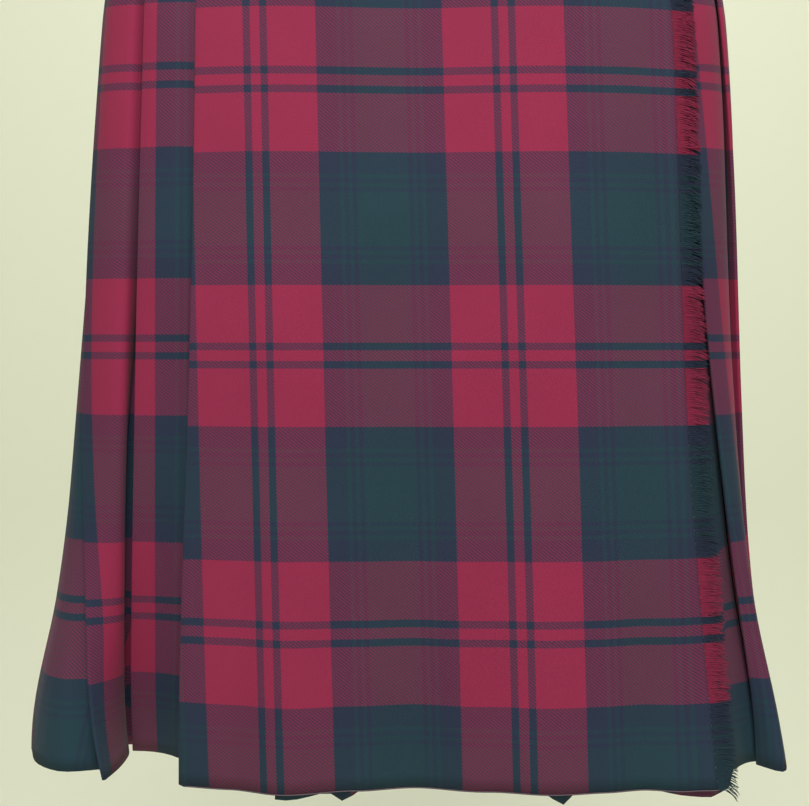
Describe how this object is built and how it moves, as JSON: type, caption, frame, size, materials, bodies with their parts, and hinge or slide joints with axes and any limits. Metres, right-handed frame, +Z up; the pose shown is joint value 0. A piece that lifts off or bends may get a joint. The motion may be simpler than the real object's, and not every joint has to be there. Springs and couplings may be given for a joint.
{
  "type": "scottish kilt",
  "caption": "Knee-length pleated tartan wrap skirt with a fringed front apron, knife pleats round the back, a waistband and buckled straps.",
  "frame": {"origin": "the middle of the waist, level with the top edge of the waistband", "axes": "+Z up, the front apron faces -Y, +X towards the fringed edge, at the viewer's right"},
  "size_m": [0.4882, 0.1708, 0.6493],
  "materials": {
    "tartan_wool": "worsted wool in a red, green and navy tartan, 2/2 twill",
    "fringe_wool": "loose wool weft ends in the tartan's colours",
    "strap_leather": "black strap leather, satin",
    "buckle_metal": "nickel plated"
  },
  "bodies": {
    "root": {"front_apron": "tartan_wool", "under_apron": "tartan_wool", "pleats_left": "tartan_wool", "pleats_back_left": "tartan_wool", "pleats_back_right": "tartan_wool", "pleats_right": "tartan_wool", "waistband_front": "tartan_wool", "waistband_back": "tartan_wool", "fringe": "fringe_wool", "strap_right": "strap_leather", "strap_seat_right": "strap_leather", "chape_right": "strap_leather", "keeper_right": "strap_leather", "buckle_right": "buckle_metal", "prong_right": "buckle_metal", "strap_left": "strap_leather", "strap_seat_left": "strap_leather", "chape_left": "strap_leather", "keeper_left": "strap_leather", "buckle_left": "buckle_metal", "prong_left": "buckle_metal"}
  },
  "joints": []
}
